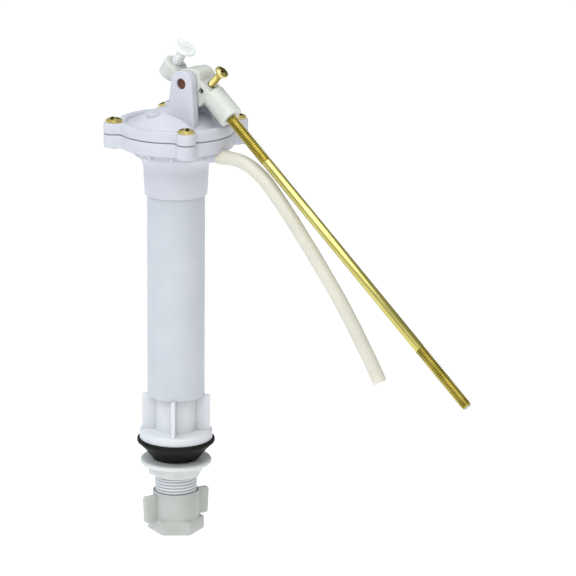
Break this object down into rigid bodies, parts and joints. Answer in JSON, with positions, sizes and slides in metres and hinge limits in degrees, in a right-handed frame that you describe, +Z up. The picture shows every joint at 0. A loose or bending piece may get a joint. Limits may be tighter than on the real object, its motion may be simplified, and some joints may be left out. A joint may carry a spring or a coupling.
{
  "type": "toilet fill valve",
  "caption": "Ballcock fill valve: threaded shank with locknut and winged coupling nut, outer tube, screwed diaphragm head, and a pivoted lever with a brass float rod.",
  "frame": {"origin": "centre of the shank flange's underside, where the valve seats on the tank floor", "axes": "+Z up along the shank and outer tube, +X from the shank towards the float rod, +Y to the left of the rod seen from above"},
  "size_m": [0.2257, 0.0646, 0.2847],
  "materials": {
    "valve_plastic": "satin",
    "nut_plastic": "satin",
    "milky_plastic": "satin",
    "brass": "polished",
    "copper_pin": "tarnished",
    "screen_steel": "satin",
    "black_rubber": "matte",
    "tube_vinyl": "satin"
  },
  "bodies": {
    "valve_body": {"shank_base": "valve_plastic", "inlet_screen": "screen_steel", "riser_tube": "valve_plastic", "riser_seal": "black_rubber", "outer_tube": "valve_plastic", "cone_washer": "black_rubber", "upper_body": "valve_plastic", "seat_insert": "nut_plastic", "diaphragm": "black_rubber", "bonnet": "valve_plastic", "bonnet_screws": "brass", "lever_pin": "copper_pin", "refill_tube": "tube_vinyl"},
    "plunger": {"plunger": "valve_plastic", "plunger_ring": "black_rubber", "diaphragm_plate": "valve_plastic"},
    "lever": {"lever": "milky_plastic", "float_rod": "brass"},
    "thumb_screw": {"thumb_screw": "milky_plastic"},
    "rod_set_screw": {"rod_set_screw": "brass"},
    "locknut": {"locknut": "nut_plastic"},
    "coupling_nut": {"coupling_nut": "nut_plastic", "supply_washer": "black_rubber", "friction_ring": "brass"}
  },
  "joints": [
    {"name": "lever_pivot", "type": "hinge", "parent": "valve_body", "child": "lever", "pos_m": [0.0118, 0, 0.2076], "axis": [0, -1, 0], "range_deg": [0, 45]},
    {"name": "plunger_slide", "type": "slide", "parent": "valve_body", "child": "plunger", "axis": [0, 0, -1], "range_m": [0, 0.0025], "deforming": ["diaphragm"]},
    {"name": "thumb_screw_turn", "type": "hinge", "parent": "lever", "child": "thumb_screw", "pos_m": [0.0058, 0, 0.2251], "axis": [0.5299, 0, 0.848], "continuous": true},
    {"name": "rod_set_screw_turn", "type": "hinge", "parent": "lever", "child": "rod_set_screw", "pos_m": [0.01899, 0, 0.20124], "axis": [0.6626, 0, 0.749], "continuous": true},
    {"name": "locknut_turn", "type": "hinge", "parent": "valve_body", "child": "locknut", "pos_m": [0, 0, -0.017], "axis": [0, 0, 1], "continuous": true},
    {"name": "coupling_nut_turn", "type": "hinge", "parent": "valve_body", "child": "coupling_nut", "pos_m": [0, 0, -0.043], "axis": [0, 0, 1], "continuous": true}
  ],
  "couplings": [
    {"joint": "plunger_slide", "follows": "lever_pivot", "m_per_rad": 0.003183}
  ]
}
